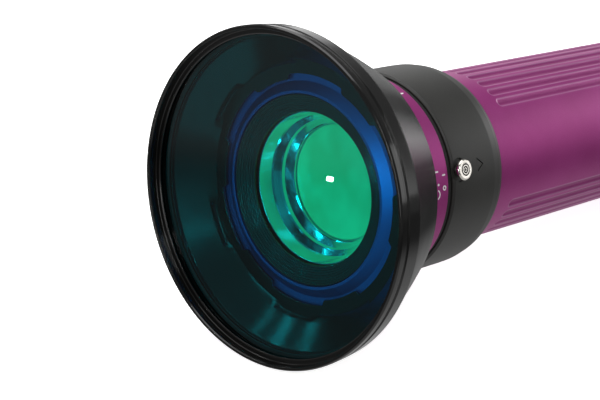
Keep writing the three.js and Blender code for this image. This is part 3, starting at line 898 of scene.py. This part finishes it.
def make_tail():
    outline = [
        (0, 262.0), (24.0, 262.0), (24.0, 234.6, 0.3), (29.0, 234.6, 0.4), (29.0, 237.0, 0.1),
        (27.0, 237.0), (27.0, 241.8), (29.0, 241.8, 0.1), (29.0, 246.3), (33.0, 246.3, 0.4),
        (CAP_RADIUS, 246.9, 0.4),
    ]
    outline += [(CAP_RADIUS, 249.0 + 0.5 * i) for i in range(36)]
    outline += [(CAP_RADIUS, 268.4, 0.8), (32.0, 270.0, 0.8), (0, 270.0)]
    turned("tail_cap_shell", outline, PURPLE, "tail", ["tail_cap"], "purple_anodised",
           segments=SHAPED_SEGMENTS, shape=gripped)


def add_bevel(obj, width, segments):
    """Rounds the edges sharper than 40 degrees; the width is in millimetres."""
    bevel = obj.modifiers.new("bevel", "BEVEL")
    bevel.width = width * MM
    bevel.segments = segments
    bevel.angle_limit = math.radians(40)
    return bevel


def make_lug():
    """The lanyard lug: a rounded plate with a hole, bevelled all round."""
    half = 8.0
    corner = 3.5
    top = LUG_HOLE_Y + 0.8
    outline = [(-half, 269.6), (half, 269.6)]
    for centre, start in ((half - corner, 0), (corner - half, 90)):
        for step in range(9):
            turn = math.radians(start + 90 * step / 8)
            outline.append((centre + corner * math.cos(turn), top + corner * math.sin(turn)))
    upright = LIGHT @ Matrix.Rotation(math.pi / 2, 4, "Y")
    lug = prism("lanyard_lug", [[upright @ Vector((x, y, z)) for x, y in outline] for z in (-3, 3)])
    across = Matrix.Translation(Vector((0, LUG_HOLE_Y, 0))) @ Matrix.Rotation(math.pi / 2, 4, "Z")
    hole = turned_mesh("lug_hole", [(0, -6), (2.6, -6), (2.6, 6), (0, 6)], 48, place=LIGHT @ across)
    boolean_cut(lug, loose_object("lug_hole", hole))
    dress(lug, PURPLE, "tail", ["tail_cap"])
    add_bevel(lug, 0.45, 3).harden_normals = True
    smooth_faces(lug)


def make_lanyard_ring():
    """A closed ring of round wire that hangs plumb from the lug."""
    low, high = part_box("lanyard_ring")
    place = Matrix.Translation((low + high) / 2) @ Matrix.Rotation(math.pi, 4, "Z") @ Matrix.Scale(MM, 4)
    middle = (high.x - low.x) / 2 / MM - WIRE_RADIUS
    turns = [2 * math.pi * i / 20 for i in range(20)]
    section = [(middle + WIRE_RADIUS * math.cos(turn), WIRE_RADIUS * math.sin(turn)) for turn in turns]
    turned("lanyard_ring_wire", section, STEEL, "lanyard", ["lanyard_ring"], "steel",
           segments=96, place=place)


# ---------------------------------------------------------------- carried-over CAD pieces

def finish_cad_nodes():
    """Gives every CAD node its slot's finish and softly broken edges; those inside stay as they are."""
    slots = {part["node"]: part["material_slot"] for part in frame["record"]["subparts"]}
    for name, node in frame["nodes"].items():
        node.data.materials.clear()
        node.data.materials.append(SLOT_FINISHES[slots[name]])
        weld = node.modifiers.new("weld", "WELD")
        weld.merge_threshold = 0.005 * MM
        add_bevel(node, 0.12, 2)


# ---------------------------------------------------------------- studio

# Height (0 straight down, 0.5 level, 1 straight up) and brightness of the room
WORLD_LEVELS = ((0.25, 0.6), (0.31, 0.11), (0.4, 0.11), (0.4075, 0.24), (1.0, 0.24))

# Name, place, point it faces, size and power of each lamp: a large box overhead, three behind, two
# in front, three narrow slats whose streaks show inside the bell, and the small flash
LAMPS = (
    ("top", (-0.3, 0.1, 1.3), (0, 0, 0.05), (1.4, 1.4), 15),
    ("back_left", (-0.85, 1.12, 0.36), (0, 0, 0.06), (0.95, 0.5), 1.6),
    ("back_middle", (0.18, 1.05, 0.2), (0, -0.1, 0.06), (0.42, 0.25), 1.6),
    ("back_right", (0.84, 0.9, 0.27), (0, 0, 0.06), (0.34, 0.58), 1.0),
    ("front_right", (0.5, -1.25, 0.32), (0, -0.1, 0.06), (0.2, 0.6), 4),
    ("front_high", (0.75, -0.85, 0.85), (0, -0.13, 0.06), (0.15, 0.5), 3.0),
    ("slat_1", (-0.50, -0.64, 0.96), (0, -0.125, 0.01), (0.035, 0.2), 0.13),
    ("slat_2", (-0.72, -0.53, 0.87), (0, -0.125, 0.01), (0.05, 0.2), 0.3),
    ("slat_3", (-0.97, -0.38, 0.67), (0, -0.125, 0.01), (0.035, 0.2), 0.16),
    ("flash", (-0.1634, -0.3586, 0.0127), (0.026, -0.132, 0.073), (0.0030, 0.0023), 0.006),
)

FLOOR_HALF_SIZE = 6.0
CAMERA_OFFSET = Vector((6.11747, -6.35200, 3.34583)) * 60 * MM
CAMERA_FORWARD = Vector((-0.633698, 0.687459, -0.354716))


def pale_floor():
    """White paper, seen only directly: its bounce comes from the world below instead."""
    finish = Finish("floor_paper", Emission_Strength=0.85)
    grain = finish.noise(60, 5)
    colour = finish.colours(grain, (0.3, (0.87, 0.87, 0.87)), (0.7, (0.9, 0.9, 0.9)))
    finish.bump((grain, 0.02, 0.2))
    finish.set(Base_Color=colour, Roughness=finish.between(grain, 0.8, 0.9))
    finish.shader.inputs["Emission Color"].default_value = (1, 1, 1, 1)
    mesh = bpy.data.meshes.new("floor")
    size = FLOOR_HALF_SIZE
    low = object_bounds()[0].z - 0.0002
    corners = [(-size, -size, low), (size, -size, low), (size, size, low), (-size, size, low)]
    mesh.from_pydata(corners, [], [(0, 1, 2, 3)])
    mesh.materials.append(finish.material)
    floor = loose_object("floor", mesh)
    floor.visible_glossy = False
    floor.visible_diffuse = False
    floor.visible_shadow = False


def aim(obj, position, forward):
    """Puts a lamp or the camera at a place, looking along forward, with no roll."""
    obj.location = position
    obj.rotation_mode = "QUATERNION"
    obj.rotation_quaternion = forward.to_track_quat("-Z", "Y")


def softbox(name, position, target, size, power):
    data = bpy.data.lights.new(name, "AREA")
    data.shape = "RECTANGLE"
    data.size, data.size_y = size
    data.energy = power
    aim(loose_object(name, data), position, Vector(target) - Vector(position))


def studio_world():
    """A dim room with a dark strip at the table's edge and the white table below."""
    world = bpy.data.worlds.new("studio")
    bpy.context.scene.world = world
    world.use_nodes = True
    tree = world.node_tree
    split = tree.nodes.new("ShaderNodeSeparateXYZ")
    tree.links.new(tree.nodes.new("ShaderNodeTexCoord").outputs["Generated"], split.inputs[0])
    level = tree.nodes.new("ShaderNodeMapRange")
    level.inputs["From Min"].default_value = -1.0
    tree.links.new(split.outputs["Z"], level.inputs["Value"])
    ramp = tree.nodes.new("ShaderNodeValToRGB")
    tree.links.new(level.outputs["Result"], ramp.inputs["Fac"])
    elements = ramp.color_ramp.elements
    for position, _ in WORLD_LEVELS[1:-1]:
        elements.new(position)
    for element, (position, grey) in zip(elements, WORLD_LEVELS):
        element.position = position
        element.color = (grey, grey, grey, 1)
    tree.links.new(ramp.outputs["Color"], tree.nodes["Background"].inputs["Color"])


def make_camera():
    """No roll: the light's own tilt gives the picture its slope."""
    data = bpy.data.cameras.new("camera")
    data.sensor_width = 36.0
    data.lens = 99.37
    camera = loose_object("camera", data)
    aim(camera, ORIGIN + CAMERA_OFFSET, CAMERA_FORWARD)
    bpy.context.scene.camera = camera


finish_cad_nodes()
make_front_ring()
make_filter_glass()
make_bell()
make_head()
make_optics()
make_scale_marks()
make_collar()
make_knob()
make_tube()
make_tail()
make_lug()
make_lanyard_ring()
pale_floor()
studio_world()
for lamp in LAMPS:
    softbox(*lamp)
make_camera()
bpy.context.scene.view_settings.view_transform = "Standard"
